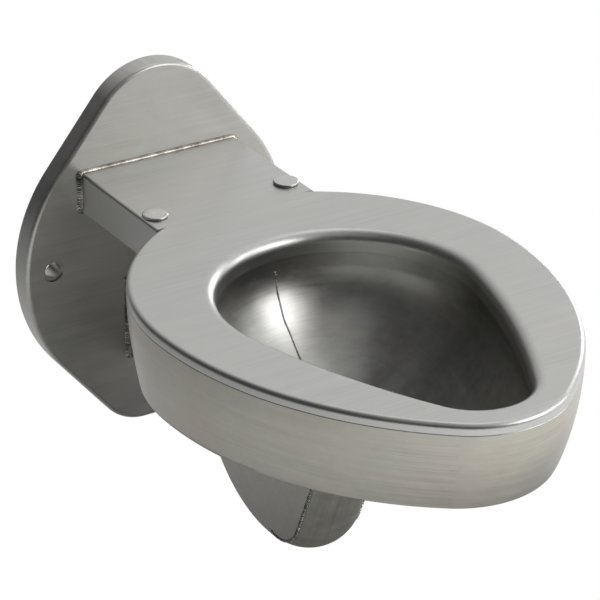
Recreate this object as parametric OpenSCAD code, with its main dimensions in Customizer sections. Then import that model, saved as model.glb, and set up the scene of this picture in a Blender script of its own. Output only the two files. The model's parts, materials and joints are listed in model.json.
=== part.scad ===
// Wall-hung stainless steel toilet bowl with an integral seat, for a secure ward.
// Millimetres. +X is the user's left-hand side seen from the front, +Y goes into the wall, +Z is up.
// The origin is in the wall's face, midway between the two upper wall bolts.

/* [Sheet] */
// Thickness of the pressed sheet
sheet = 2; // [1.5:0.1:2.5]
// Wall of the round waste tubes
tube_wall = 1.9; // [1.2:0.1:2.5]

/* [Seat] */
// Width across the seat
seat_w = 366; // [340:1:450]
// From the wall to the tip of the seat
reach = 613; // [560:1:740]
// Height of the seat above the upper wall bolts
seat_h = 94.5; // [80:1:120]
// Radius of the seat's nose
nose_r = 91; // [80:1:100]
// Radius of the seat's long side curves
side_r = 323; // [300:1:360]
// Radius of the seat's rear curves
back_r = 200; // [194:1:215]
// Bend along the seat's outer edge
seat_edge_r = 5; // [3:0.5:7]
// Depth of the seat's turned-down edge
seat_rim = 10; // [9:0.5:14]

/* [Mouth] */
// Radius at the back of the clear opening
mouth_back_r = 116; // [110:1:119]
// Radius at the front of the clear opening
mouth_nose_r = 50; // [44:1:56]
// Radius of its long side curves
mouth_side_r = 635; // [450:5:900]
// From the tip of the seat to the clear opening
mouth_front = 31; // [27:1:34]
// Length of the clear opening
mouth_len = 345; // [330:1:350]
// Radius of the rolled lip
lip_r = 11; // [8:0.5:14]
// Straight drop below the rolled lip
lip_drop = 9.5; // [6:0.5:14]

/* [Skirt] */
// Height of the skirt below the seat's top
skirt_h = 86.5; // [78:0.5:96]
// How far the skirt's foot draws in all round
skirt_draw = 7; // [4:0.5:11]
// How much further it draws in at the nose
nose_draw = 11; // [0:0.5:14]
// How much further it draws in at the rear
rear_draw = 34; // [15:0.5:40]
// Width of the turned-in hem
hem = 8; // [5:1:12]

/* [Arm] */
// Width of the arm
arm_w = 167.6; // [150:1:176]
// Height of the arm
arm_h = 38.4; // [36:0.5:46]
// Bend along the arm's long edges
arm_edge_r = 3; // [2.5:0.5:4]

/* [Wall flange] */
// Depth of the pan, from the wall to its face
flange_d = 22; // [18:1:30]
// Height of the flange's top above the upper bolts
flange_top = 186.5; // [175:1:200]
// Depth of the flange's foot below the upper bolts
flange_foot = 185.5; // [178:1:200]
// Width across the flange's side lobes
flange_w = 286; // [280:1:320]
// Bend along the flange's edge
flange_edge_r = 4; // [3:0.5:5]
// Radius of the flange's crown
crown_r = 72; // [60:1:80]
// Radius of its side lobes
lobe_r = 158; // [150:1:166]
// Radius of its two foot corners
foot_r = 52; // [45:1:58]
// Half the distance between the centres of the foot corners
foot_x = 15.5; // [10:0.5:20]
// Distance between the two upper bolts
bolt_span = 228; // [216:1:232]
// Depth of the lower bolt below the upper ones
bolt_drop = 160.5; // [150:1:162]
// Wall bolt hole
bolt_hole_d = 22; // [19:1:24]
// Bore of the spacer behind each wall bolt hole
stud_bore_d = 16; // [12:0.5:17]

/* [Flushing] */
// Outside diameter of the flush pipe
flush_d = 25.4; // [19:0.1:26]
// Outside diameter of the flush pipe's stub behind the wall flange
flush_tail_d = 33.4; // [30:0.1:34]
// How far the stub passes the wall's face
flush_tail_l = 40; // [20:1:80]
// Depth of the flushing channel under the seat
channel_h = 35; // [33:1:40]
// Width from the rolled lip's edge to the channel's outer wall
channel_out = 9; // [7:0.5:10]
// Slot between the rolled lip and the bowl's wall
flush_slot = 4; // [3:0.5:6]

/* [Bowl and trap] */
// Outside diameter of the leg and of the ball at its foot
leg_d = 97.5; // [95:0.1:100]
// From the wall to the ball's centre
ball_y = 293.7; // [288:0.1:298]
// Depth of the ball's centre below the seat
ball_h = 234.4; // [230:0.1:240]
// From the ball's centre to the bowl's outlet
leg_l = 108; // [104:1:120]
// How far the leg leans forward, in degrees
leg_lean = 22; // [18:0.5:26]
// Length of the leg's flat sides above the ball's centre
flat_l = 85; // [70:1:95]

/* [Trapway] */
// Level stretch of the trapway behind the ball's centre
level_l = 15; // [10:1:20]
// Depth of its floor below the ball's centre
floor_drop = 36.5; // [34:0.5:38]
// Radius of the floor's bend
floor_r = 118; // [110:1:125]
// Slope of the rise behind the bend, in degrees
rise_a = 45; // [42:1:46]
// Height of the trapway, across its run
trapway_h = 70; // [66:1:72]

/* [Waste] */
// Width of the waste duct and of the trapway
duct_w = 68; // [60:1:74]
// From the wall to the duct's front
duct_l = 109; // [104:1:114]
// Depth of the duct's floor below the seat
duct_h = 205; // [203:1:212]
// Outside diameter of the waste spigot
spigot_d = 101.6; // [95:0.1:106]
// How far the spigot passes the wall's face
spigot_tail = 60; // [40:1:100]
// Depth of the spigot's axis below the seat
spigot_h = 150; // [146:1:153]
// Thickness of the outlet plate
outlet_plate_t = 3; // [2:0.5:5]

/* [Hinge hole plugs] */
// Distance between the plugs
plug_span = 139.7; // [130:0.1:146]
// From the wall to the plugs
plug_y = 138; // [130:1:146]
// Diameter of a plug's head
plug_d = 24; // [20:1:28]
// Diameter of its shank
plug_shank_d = 10; // [8:0.5:12]

/* [Welds] */
// Width of a weld bead
bead = 5; // [3:0.5:6]

/* [Hidden] */
round_fn = 96;
satin = [0.66, 0.66, 0.64];
dark_satin = [0.5, 0.5, 0.48];
weld_tint = [0.56, 0.52, 0.46];

// Seat outline: circles [x, y, r], anticlockwise from the nose, each tangent to the next
nose_y = -(reach - nose_r);
side_x = seat_w / 2 - side_r;
side_y = nose_y + sqrt(pow(side_r - nose_r, 2) - side_x * side_x);
rear_x = seat_w / 2 - back_r;
arm_angle = acos((arm_w / 2 - rear_x) / back_r);
arm_y = side_y + back_r * sin(arm_angle);
close_y = side_y - rear_x * tan(arm_angle);
close_r = back_r + rear_x / cos(arm_angle);
rear_reach = back_r * sin(arm_angle);
seat_circles = [
    [0, nose_y, nose_r], [side_x, side_y, side_r], [rear_x, side_y, back_r],
    [0, close_y, close_r], [-rear_x, side_y, back_r], [-side_x, side_y, side_r]
];
seat_steps = [16, 16, 12, 12, 12, 16];
seat_lines = [0, 0, 0, 0, 0, 0];

// Mouth outline at the lip's straight drop: nose, long side curve, back and long side curve, all tangent
mouth_tip_y = -(reach - mouth_front) + mouth_nose_r;
mouth_back_y = -(reach - mouth_front) + mouth_len - mouth_back_r;
tip_to_back = mouth_back_y - mouth_tip_y;
tip_to_side = mouth_side_r - mouth_nose_r;
back_to_side = mouth_side_r - mouth_back_r;
side_ahead = (pow(tip_to_side, 2) - pow(back_to_side, 2) + pow(tip_to_back, 2)) / (2 * tip_to_back);
side_across = sqrt(pow(tip_to_side, 2) - pow(side_ahead, 2));
mouth_circles = [
    [0, mouth_tip_y, mouth_nose_r], [-side_across, mouth_tip_y + side_ahead, mouth_side_r],
    [0, mouth_back_y, mouth_back_r], [side_across, mouth_tip_y + side_ahead, mouth_side_r]
];
mouth_steps = [16, 14, 40, 14];
mouth_lines = [0, 0, 0, 0];

// Bowl wall, outside the lip's drop by the lip's sheet and the flushing slot
bowl_out = sheet + flush_slot;
channel_edge = lip_r + channel_out;
leg_r = leg_d / 2;
leg_inner_r = leg_r - tube_wall;
duct_top = -arm_h;
duct_inner = duct_w / 2 - sheet;

// Trapway: its bend's centre lies above the floor, in the plane of symmetry
bend_y = -ball_y + level_l;
bend_z = -ball_h - floor_drop + floor_r;
roof_r = floor_r - trapway_h;
bend_steps = 16;
// Height at which a line of the trapway, at a radius of its bend, meets the duct
function duct_entry_z(r) = bend_z - r / cos(rise_a) + (-duct_l - bend_y) * tan(rise_a);
weir_z = duct_entry_z(floor_r - sheet);
crown_z = duct_entry_z(roof_r + sheet);
// Half the width of a flat side, where its outer face cuts the ball, and the turn of the bead round it
flat_r = sqrt(leg_r * leg_r - duct_w * duct_w / 4);
weld_turn = 85;

// How the skirt's draw grows with depth
draw_power = 1.9;
// Wall of the tubes that keep the pan from being crushed, and of the flush pipe's collar
spacer_wall = 5;
collar_wall = 4;
// Flush pipe's axis below the seat, so that it clears the deck and the channel's floor
flush_h = channel_h / 2 + 1;
mouth_rear_y = mouth_back_y + mouth_back_r;
channel_rear_y = mouth_rear_y + channel_edge - sheet;
// Top of the bowl's wall, behind the lip's drop, and depth at which it starts to draw in
bowl_top = lip_r + lip_drop - 2;
bowl_rim = channel_h;
// Rings of the bowl from its rim to its outlet, and how its wall's inward draw grows with depth
bowl_rings = 9;
bowl_power = 1.7;
// The bowl's seam runs down the middle of its rear wall
seam_i = mouth_steps[0] / 2 + (mouth_steps[0] + mouth_steps[1] + mouth_steps[2] + mouth_steps[3]) / 2;
seam_w = 3.2;
// Outlet plate, wider and taller than the duct and the spigot
plate_half_w = 62;
plate_high = arm_h - sheet;
plate_low = max(duct_h, spigot_h + spigot_d / 2) + 5;
// Plug, washer and nut
head_h = 3.2;
head_rim = 1.2;
shank_l = 14;
washer_t = 1.6;
nut_h = 6.5;
nut_d = 19.6;

// Flange outline: circles [x, z, r] anticlockwise from the foot's right-hand corner
lobe_x = flange_w / 2 - lobe_r;
lobe_z = -4.5;
flange_circles = [
    [foot_x, foot_r - flange_foot, foot_r], [lobe_x, lobe_z, lobe_r], [0, flange_top - crown_r, crown_r],
    [-lobe_x, lobe_z, lobe_r], [-foot_x, foot_r - flange_foot, foot_r]
];
flange_steps = [12, 16, 14, 16, 12];
flange_lines = [0, 0, 0, 0, 0];

// Angle of the outward normal on the straight line that touches circles a and b
function touch_angle(a, b) =
    let (d = [b[0] - a[0], b[1] - a[1]], l = norm(d))
    atan2(d[1], d[0]) - acos(max(-1, min(1, (a[2] - b[2]) / l)));

function at_or_after(angle, start) = angle < start - 0.001 ? at_or_after(angle + 360, start) : angle;

// Points on a ring of circles and their common tangents, moved outwards by out
function outline(circles, steps, lines, out = 0) = [
    for (i = [0 : len(circles) - 1])
        let (
            n = len(circles), c = circles[i], after = circles[(i + 1) % n],
            a0 = touch_angle(circles[(i + n - 1) % n], c), a1 = at_or_after(touch_angle(c, after), a0),
            end = [c[0] + (c[2] + out) * cos(a1), c[1] + (c[2] + out) * sin(a1)],
            next = [after[0] + (after[2] + out) * cos(a1), after[1] + (after[2] + out) * sin(a1)],
            straight = lines[i] > 0 || norm(next - end) > 0.01
        )
        each concat(
            [for (k = [0 : steps[i] - 1])
                let (a = a0 + (a1 - a0) * k / steps[i])
                [c[0] + (c[2] + out) * cos(a), c[1] + (c[2] + out) * sin(a)]],
            straight ? [end] : [],
            [for (k = [1 : 1 : lines[i] - 1]) end + (next - end) * k / lines[i]]
        )
];

function at_height(points, z) = [for (p = points) [p[0], p[1], z]];

// Rings on the seat's, the mouth's and the flange's outlines
function seat_ring(out, z) = at_height(outline(seat_circles, seat_steps, seat_lines, out), z);
function mouth_ring(out, z) = at_height(outline(mouth_circles, mouth_steps, mouth_lines, out), z);
function flange_ring(out, z) = at_height(outline(flange_circles, flange_steps, flange_lines, out), z);

// Solid between rings of equal length. A closed one joins its last ring to its first.
module rings_solid(rings, closed) {
    n = len(rings[0]);
    last = len(rings) - 1;
    sides = [
        for (k = [0 : closed ? last : last - 1], i = [0 : n - 1])
            let (a = k * n, b = ((k + 1) % len(rings)) * n, j = (i + 1) % n)
            each [[a + i, b + i, a + j], [a + j, b + i, b + j]]
    ];
    caps = closed ? [] : [[for (i = [0 : n - 1]) i], [for (i = [n - 1 : -1 : 0]) last * n + i]];
    polyhedron(points = [for (r = rings) each r], faces = concat(sides, caps), convexity = 6);
}

// Places a shape drawn in X and Z, with its depth along local +Z, so that it stands out from the wall
module off_wall(distance) {
    translate([0, -distance, 0]) rotate([90, 0, 0]) children();
}

module at_seat() {
    translate([0, 0, seat_h]) children();
}

// A solid rod between two places on one line along Y or Z
module rod_y(x, z, y0, y1, r) {
    translate([x, y0, z]) rotate([-90, 0, 0]) cylinder(r = r, h = y1 - y0, $fn = round_fn);
}

module block(x, y, z) {
    translate([x[0], y[0], z[0]]) cube([x[1] - x[0], y[1] - y[0], z[1] - z[0]]);
}

// A shape drawn in Y and Z, extruded along X
module along_x(x0, x1) {
    translate([x0, 0, 0]) rotate([90, 0, 90]) linear_extrude(x1 - x0) children();
}

module mirrored_x() {
    children();
    mirror([1, 0, 0]) children();
}

module at_wall_bolts() {
    translate([bolt_span / 2, 0, 0]) children();
    translate([-bolt_span / 2, 0, 0]) children();
    translate([0, 0, -bolt_drop]) children();
}

// Rounded rectangle by its half width, bottom, top and corner radius
function box_circles(half_w, low, high, r) = [
    [half_w - r, low + r, r], [half_w - r, high - r, r], [-half_w + r, high - r, r], [-half_w + r, low + r, r]
];

function box_ring(circles, out, z) = at_height(outline(circles, [4, 4, 4, 4], [0, 0, 0, 0], out), z);

// Weld fillet around a box that butts on the flange's face
module butt_bead(circles) {
    off_wall(flange_d) rings_solid([
        box_ring(circles, 0, 0), box_ring(circles, bead, 0), box_ring(circles, bead * 0.7, bead * 0.5),
        box_ring(circles, bead * 0.3, bead * 0.85), box_ring(circles, 0, bead)
    ], true);
}

module wall_flange() {
    e = flange_edge_r;
    t = sheet;
    color(satin) difference() {
        off_wall(0) rings_solid([
            flange_ring(-e, flange_d - t), flange_ring(-t - 0.3 * (e - t), flange_d - t - 0.3 * (e - t)),
            flange_ring(-t, flange_d - e), flange_ring(-t, 0), flange_ring(0, 0), flange_ring(0, flange_d - e),
            flange_ring(-0.3 * e, flange_d - 0.3 * e), flange_ring(-e, flange_d)
        ], false);
        at_wall_bolts() rod_y(0, 0, -flange_d - 1, 1, bolt_hole_d / 2);
        at_seat() rod_y(0, -flush_h, -flange_d - 1, 1, flush_d / 2);
        at_seat() block([-duct_w / 2, duct_w / 2], [-flange_d - 1, 1], [-duct_h, duct_top]);
    }
}

module bolt_spacers() {
    color(dark_satin) at_wall_bolts() difference() {
        rod_y(0, 0, -flange_d + sheet, 0, bolt_hole_d / 2 + spacer_wall);
        rod_y(0, 0, -flange_d, 1, stud_bore_d / 2);
    }
}

module outlet_plate() {
    color(dark_satin) at_seat() difference() {
        block([-plate_half_w, plate_half_w], [-outlet_plate_t, 0], [-plate_low, -plate_high]);
        intersection() {
            rod_y(0, -spigot_h, -outlet_plate_t - 1, 1, spigot_d / 2 - tube_wall);
            block([-duct_inner, duct_inner], [-flange_d, flange_d], [-duct_h + sheet, duct_top]);
        }
    }
}

module waste_spigot() {
    color(satin) at_seat() difference() {
        rod_y(0, -spigot_h, 0, spigot_tail, spigot_d / 2);
        rod_y(0, -spigot_h, -1, spigot_tail + 1, spigot_d / 2 - tube_wall);
    }
}

module waste_duct() {
    color(dark_satin) at_seat() difference() {
        block([-duct_w / 2, duct_w / 2], [-duct_l, -outlet_plate_t], [-duct_h, duct_top]);
        block([-duct_inner, duct_inner], [-duct_l - 1, 0], [-duct_h + sheet, duct_top - sheet]);
    }
}

// Plates that close the duct's front below and above the trapway
module duct_front() {
    inner = [-duct_inner, duct_inner];
    color(dark_satin) at_seat() {
        block(inner, [-duct_l, -duct_l + sheet], [-duct_h + sheet, weir_z]);
        block(inner, [-duct_l, -duct_l + sheet], [crown_z, duct_top - sheet]);
    }
}

module arm_shell() {
    outer = box_circles(arm_w / 2, -arm_h - arm_edge_r, 0, arm_edge_r);
    inner = box_circles(arm_w / 2 - sheet, -arm_h - arm_edge_r, -sheet, arm_edge_r - sheet);
    color(satin) at_seat() difference() {
        off_wall(flange_d) linear_extrude(-arm_y - flange_d) difference() {
            polygon(outline(outer, [4, 4, 4, 4], [0, 0, 0, 0]));
            polygon(outline(inner, [4, 4, 4, 4], [0, 0, 0, 0]));
        }
        block([-arm_w, arm_w], [-reach, 0], [-2 * arm_h, -arm_h]);
        mirrored_x() translate([plug_span / 2, -plug_y, -arm_h])
            cylinder(d = plug_shank_d, h = 2 * arm_h, $fn = round_fn);
    }
}

module arm_floor() {
    half_w = arm_w / 2 - sheet;
    color(dark_satin) at_seat() block([-half_w, half_w], [arm_y, -flange_d], [-arm_h, -arm_h + sheet]);
}

// Top sheet: outer bend, flat deck and the lip rolled down into the mouth
module seat_deck() {
    e = seat_edge_r;
    t = sheet;
    lip = [for (a = [0 : 18 : 90]) [lip_r * (1 - sin(a)), lip_r * (cos(a) - 1)]];
    under = [for (a = [90 : -18 : 0]) [lip_r - (lip_r - t) * sin(a), (lip_r - t) * cos(a) - lip_r]];
    color(satin) at_seat() difference() {
        rings_solid(concat(
            [seat_ring(0, -seat_rim)],
            [for (a = [0 : 22.5 : 90]) seat_ring(-e * (1 - cos(a)), -e * (1 - sin(a)))],
            [for (p = lip) mouth_ring(p[0], p[1])],
            [mouth_ring(0, -lip_r - lip_drop), mouth_ring(t, -lip_r - lip_drop)],
            [for (p = under) mouth_ring(p[0], p[1])],
            [for (a = [90 : -45 : 0]) seat_ring(-e + (e - t) * cos(a), -e + (e - t) * sin(a))],
            [seat_ring(-t, -seat_rim)]
        ), true);
        block([-arm_w, arm_w], [arm_y, 0], [-seat_h, seat_h]);
    }
}

// Share of the skirt's draw at a depth from 0 at its top to 1 at its foot
function draw_share(depth) = pow(depth, draw_power);

// Seat ring drawn in all round, and further in at the nose and at the rear
function skirt_ring(inset, depth) =
    let (z = -seat_rim - depth * (skirt_h - seat_rim), out = -inset - skirt_draw * draw_share(depth))
    [for (p = outline(seat_circles, seat_steps, seat_lines, out))
        let (ahead = max(0, (side_y - p[1]) / (side_y + reach)), behind = max(0, (p[1] - side_y) / rear_reach))
        [p[0], p[1] + draw_share(depth) * (nose_draw * ahead * ahead - rear_draw * behind * behind), z]];

module skirt() {
    hem_lift = [0, 0, sheet];
    outside = [for (k = [6 : -1 : 0]) skirt_ring(0, k / 6)];
    inside = [for (k = [0 : 5]) skirt_ring(sheet, k / 6)];
    corner = skirt_ring(sheet, 1);
    foot = skirt_ring(hem, 1);
    color(satin) at_seat() difference() {
        rings_solid(concat(
            outside, inside, [[for (p = corner) p + hem_lift], [for (p = foot) p + hem_lift], foot]
        ), true);
        block([-arm_w / 2, arm_w / 2], [arm_y, 0], [-arm_h, 0]);
    }
}

// Channel under the seat: an outer wall and a floor, closed above by the deck and inside by the lip
module flush_rim() {
    t = sheet;
    floor_in = bowl_out + t;
    color(dark_satin) at_seat() difference() {
        rings_solid([
            mouth_ring(channel_edge, -t), mouth_ring(channel_edge - t, -t),
            mouth_ring(channel_edge - t, -channel_h + t), mouth_ring(floor_in, -channel_h + t),
            mouth_ring(floor_in, -channel_h), mouth_ring(channel_edge, -channel_h)
        ], true);
        rod_y(0, -flush_h, mouth_rear_y, 0, flush_d / 2);
    }
}

module flush_pipe() {
    color(satin) at_seat() difference() {
        rod_y(0, -flush_h, channel_rear_y, 0, flush_d / 2);
        rod_y(0, -flush_h, channel_rear_y - 1, 1, flush_d / 2 - tube_wall);
    }
}

module flush_tail() {
    color(satin) at_seat() difference() {
        rod_y(0, -flush_h, 0, flush_tail_l, flush_tail_d / 2);
        rod_y(0, -flush_h, -1, flush_tail_l + 1, flush_d / 2 - tube_wall);
    }
}

module flush_collar() {
    color(dark_satin) at_seat() difference() {
        rod_y(0, -flush_h, -flange_d - 2 * sheet, -flange_d, flush_d / 2 + collar_wall);
        rod_y(0, -flush_h, -flange_d - 3 * sheet, 0, flush_d / 2);
    }
}

// Ring of the bowl's wall at a share of its depth, from 0 at its straight rim to 1 at its outlet
function bowl_ring(out, depth) =
    let (
        share = pow(depth, bowl_power), r = leg_inner_r + out, n = seam_i * 2 - mouth_steps[0],
        top = outline(mouth_circles, mouth_steps, mouth_lines, bowl_out + out)
    )
    [for (i = [0 : n - 1])
        let (
            a = -90 + 360 * (i - mouth_steps[0] / 2) / n,
            foot = [
                r * cos(a), -ball_y - leg_l * sin(leg_lean) + r * sin(a) * cos(leg_lean),
                -ball_h + leg_l * cos(leg_lean) + r * sin(a) * sin(leg_lean)
            ]
        )
        [
            top[i][0] * (1 - share) + foot[0] * share, top[i][1] * (1 - share) + foot[1] * share,
            -bowl_rim * (1 - depth) + foot[2] * depth
        ]];

module bowl() {
    depths = [for (k = [0 : bowl_rings]) k / bowl_rings];
    color(satin) at_seat() rings_solid(concat(
        [mouth_ring(bowl_out, -bowl_top)], [for (d = depths) bowl_ring(0, d)],
        [for (k = [bowl_rings : -1 : 0]) bowl_ring(tube_wall, depths[k])],
        [mouth_ring(bowl_out + tube_wall, -bowl_top)]
    ), true);
}

// Upright seam inside the bowl, down the middle of its rear wall
module bowl_seam_weld() {
    seam = [for (k = [0 : bowl_rings]) let (p = bowl_ring(0, k / bowl_rings)[seam_i]) [p, p - [0, 1.2, 0]]];
    half = [seam_w / 2, 0, 0];
    color(weld_tint) at_seat() rings_solid([
        for (s = seam) [s[0] + half, s[0] - half, s[1] - half / 2, s[1] + half / 2]
    ], false);
}

module at_leg() {
    translate([0, -ball_y, -ball_h]) rotate([leg_lean, 0, 0]) children();
}

// Solid leg that ends in half a ball, and goes past its upper end by over
module leg_solid(r, over) {
    at_leg() rotate_extrude($fn = round_fn) intersection() {
        union() {
            circle(r = r, $fn = round_fn);
            square([r, leg_l + over]);
        }
        translate([0, -r]) square([r, r + leg_l + over]);
    }
}

// Side view of the trapway's line at a radius of its bend: level, round the bend and up to the duct
function trapway_line(r) = concat(
    [[-ball_y, bend_z - r]],
    [for (k = [0 : bend_steps]) let (a = rise_a * k / bend_steps) [bend_y + r * sin(a), bend_z - r * cos(a)]],
    [[-duct_l, duct_entry_z(r)]]
);

module trapway_strip(low, high) {
    upper = trapway_line(low);
    lower = trapway_line(high);
    polygon(concat(lower, [for (k = [len(upper) - 1 : -1 : 0]) upper[k]]));
}

// Leg and ball with flat sides, open to the trapway behind
module trap_boot() {
    color(satin) at_seat() difference() {
        leg_solid(leg_r, 0);
        leg_solid(leg_inner_r, 1);
        mirrored_x() at_leg() block([duct_inner, leg_d], [-leg_d, leg_d], [-leg_d, flat_l]);
        along_x(-leg_d, leg_d) trapway_strip(roof_r, floor_r);
    }
}

// Flat sides of the leg and of the trapway, each with a shelf where the leg turns round again
module trap_sides() {
    color(satin) at_seat() mirrored_x() {
        intersection() {
            leg_solid(leg_r, 0);
            at_leg() union() {
                block([duct_inner, duct_inner + sheet], [-leg_d, leg_d], [-leg_d, flat_l]);
                block([duct_inner, leg_d], [-leg_d, leg_d], [flat_l - sheet, flat_l]);
            }
        }
        along_x(duct_inner, duct_inner + sheet) trapway_strip(roof_r, floor_r);
    }
}

module trap_floor() {
    color(satin) at_seat() difference() {
        along_x(-duct_inner, duct_inner) trapway_strip(floor_r - sheet, floor_r);
        leg_solid(leg_inner_r, 0);
    }
}

module trap_roof() {
    color(satin) at_seat() difference() {
        along_x(-duct_inner, duct_inner) trapway_strip(roof_r, roof_r + sheet);
        leg_solid(leg_inner_r, 0);
    }
}

// Bead around each flat side, from the leg's front to the underside of the ball
module trap_weld() {
    r = bead / 2;
    color(weld_tint) at_seat() difference() {
        at_leg() mirrored_x() translate([duct_w / 2, 0, 0]) {
            translate([0, -flat_r, 0]) cylinder(r = r, h = flat_l, $fn = round_fn);
            rotate([90, 0, 90]) rotate([0, 0, 180])
                rotate_extrude(angle = weld_turn, $fn = round_fn)
                    translate([flat_r, 0]) circle(r = r, $fn = round_fn);
        }
        intersection() {
            leg_solid(leg_r, 0);
            block([-duct_w / 2, duct_w / 2], [-reach, 0], [-reach, 0]);
        }
        leg_solid(leg_inner_r, 0);
        along_x(-duct_w / 2, duct_w / 2) trapway_strip(roof_r, floor_r);
    }
}

module arm_weld() {
    color(weld_tint) at_seat() difference() {
        butt_bead(box_circles(arm_w / 2, -arm_h, 0, arm_edge_r));
        gap_half = duct_w / 2 + bead;
        block([-gap_half, gap_half], [-flange_d - 2 * bead, 0], [-arm_h - 2 * bead, -arm_h + sheet]);
    }
}

module duct_weld() {
    color(weld_tint) at_seat() difference() {
        butt_bead(box_circles(duct_w / 2, -duct_h, duct_top, 1));
        block([-duct_w, duct_w], [-flange_d - 2 * bead, 0], [duct_top, 0]);
    }
}

module at_hinge_holes(z) {
    at_seat() mirrored_x() translate([plug_span / 2, -plug_y, z]) children();
}

// Domed head on the arm and a shank through it
module hinge_plugs() {
    head_r = plug_d / 2;
    shank_r = plug_shank_d / 2;
    dome = [for (k = [0 : 6]) [head_r * cos(k * 15), head_rim + (head_h - head_rim) * sin(k * 15)]];
    color(satin) at_hinge_holes(0) rotate_extrude($fn = round_fn)
        polygon(concat([[0, -shank_l], [shank_r, -shank_l], [shank_r, 0], [head_r, 0]], dome));
}

module hinge_washers() {
    color(dark_satin) at_hinge_holes(-sheet - washer_t) difference() {
        cylinder(d = plug_d, h = washer_t, $fn = round_fn);
        translate([0, 0, -1]) cylinder(d = plug_shank_d, h = washer_t + 2, $fn = round_fn);
    }
}

module hinge_nuts() {
    color(dark_satin) at_hinge_holes(-sheet - washer_t - nut_h) difference() {
        cylinder(d = nut_d, h = nut_h, $fn = 6);
        translate([0, 0, -1]) cylinder(d = plug_shank_d, h = nut_h + 2, $fn = round_fn);
    }
}

wall_flange();
bolt_spacers();
outlet_plate();
waste_spigot();
waste_duct();
duct_front();
arm_shell();
arm_floor();
seat_deck();
skirt();
flush_rim();
flush_pipe();
flush_tail();
flush_collar();
bowl();
bowl_seam_weld();
trap_boot();
trap_sides();
trap_floor();
trap_roof();
trap_weld();
arm_weld();
duct_weld();
hinge_plugs();
hinge_washers();
hinge_nuts();
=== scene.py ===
import json
import math

import bpy
import numpy as np
from mathutils import Matrix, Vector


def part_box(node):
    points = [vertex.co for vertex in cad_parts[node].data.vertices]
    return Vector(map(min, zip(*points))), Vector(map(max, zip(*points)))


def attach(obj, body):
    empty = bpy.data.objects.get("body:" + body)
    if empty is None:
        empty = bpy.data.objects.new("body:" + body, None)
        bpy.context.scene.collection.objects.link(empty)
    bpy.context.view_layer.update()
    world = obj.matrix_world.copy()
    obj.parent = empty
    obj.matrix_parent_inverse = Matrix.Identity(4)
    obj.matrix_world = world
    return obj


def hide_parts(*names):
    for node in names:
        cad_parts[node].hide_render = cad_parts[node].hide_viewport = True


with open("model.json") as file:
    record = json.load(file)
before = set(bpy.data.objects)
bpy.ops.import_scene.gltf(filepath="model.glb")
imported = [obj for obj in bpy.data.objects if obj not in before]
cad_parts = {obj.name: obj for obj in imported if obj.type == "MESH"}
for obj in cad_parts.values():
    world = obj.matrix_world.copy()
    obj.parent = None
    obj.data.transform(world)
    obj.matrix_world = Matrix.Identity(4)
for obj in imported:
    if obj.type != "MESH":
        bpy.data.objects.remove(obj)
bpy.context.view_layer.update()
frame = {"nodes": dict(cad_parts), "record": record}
print("frame loaded:", len(frame["nodes"]), "nodes")

mm = 0.001  # shapes are worked out in millimetres, and z is 0 at the seat's top


def nodeBox(node):
    # Lowest and highest corner of a node in millimetres, with z from the seat's top
    low, high = (np.array(corner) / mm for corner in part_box(node))
    return low - [0, 0, seatTop], high - [0, 0, seatTop]


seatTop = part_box("seat_deck")[1].z / mm
seatLow, seatHigh = nodeBox("seat_deck")
armLow, armHigh = nodeBox("arm_shell")
panLow, panHigh = nodeBox("wall_flange")
skirtLow = nodeBox("skirt")[0]
bootLow = nodeBox("trap_boot")[0]
ductLow, ductHigh = nodeBox("waste_duct")
rimLow = nodeBox("flush_rim")[0]


def touchAngle(a, b):
    # Angle of the outward normal on the line that touches two circles (x, y, r)
    dx, dy = b[0] - a[0], b[1] - a[1]
    return math.atan2(dy, dx) - math.acos(max(-1.0, min(1.0, (a[2] - b[2]) / math.hypot(dx, dy))))


def outline(circles, steps, out=0.0):
    # Arcs of a chain of circles and their common tangents, moved outwards, as an (n, 2) array
    parts = []
    count = len(circles)
    for i, (x, y, r) in enumerate(circles):
        after = circles[(i + 1) % count]
        start = touchAngle(circles[i - 1], circles[i])
        end = touchAngle(circles[i], after)
        while end < start - 1e-5:
            end += 2 * math.pi
        straight = math.hypot(after[0] + after[2] * math.cos(end) - x - r * math.cos(end),
                              after[1] + after[2] * math.sin(end) - y - r * math.sin(end)) > 0.01
        angle = np.linspace(start, end, steps[i] + straight, endpoint=bool(straight))
        parts.append(np.stack([x + (r + out) * np.cos(angle), y + (r + out) * np.sin(angle)], 1))
    return np.concatenate(parts)


def atHeight(points, z):
    return np.column_stack([points, np.full(len(points), float(z))])


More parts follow.
